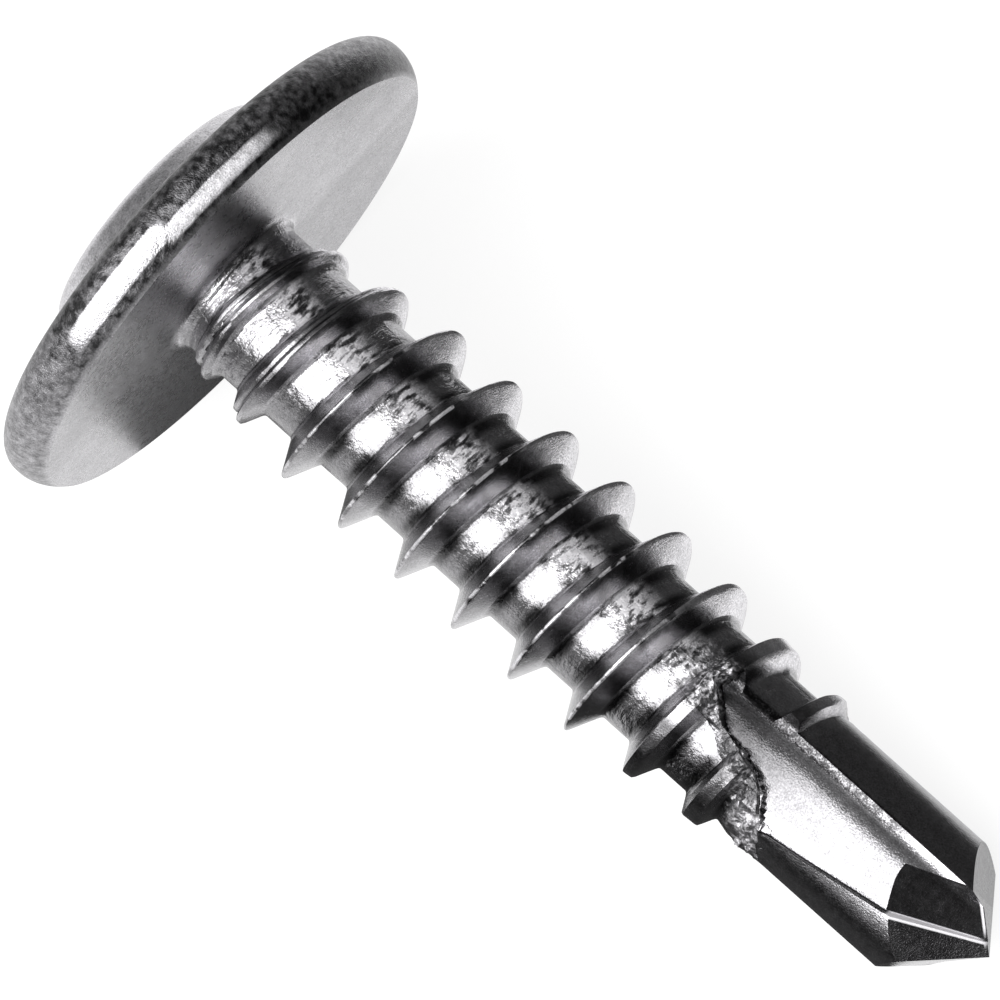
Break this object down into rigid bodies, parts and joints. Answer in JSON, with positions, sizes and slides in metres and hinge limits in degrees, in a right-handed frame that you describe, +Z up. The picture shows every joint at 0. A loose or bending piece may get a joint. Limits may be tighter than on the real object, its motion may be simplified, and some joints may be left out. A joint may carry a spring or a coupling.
{
  "type": "self-drilling screw",
  "caption": "Self-drilling sheet-metal screw with a thin wafer head, cross recess, left-hand thread and a two-flute drill point, lying on its side.",
  "frame": {"origin": "centre of the bottom of the box of the screw as it lies on its side, on the surface it rests on", "axes": "+X along the screw towards the drill point, which slopes down 12.3 degrees; +Z up"},
  "size_m": [0.0208, 0.0104, 0.0102],
  "materials": {
    "zinc": "zinc-plated, fine frosted grain"
  },
  "bodies": {
    "root": {"screw": "zinc"}
  },
  "joints": []
}
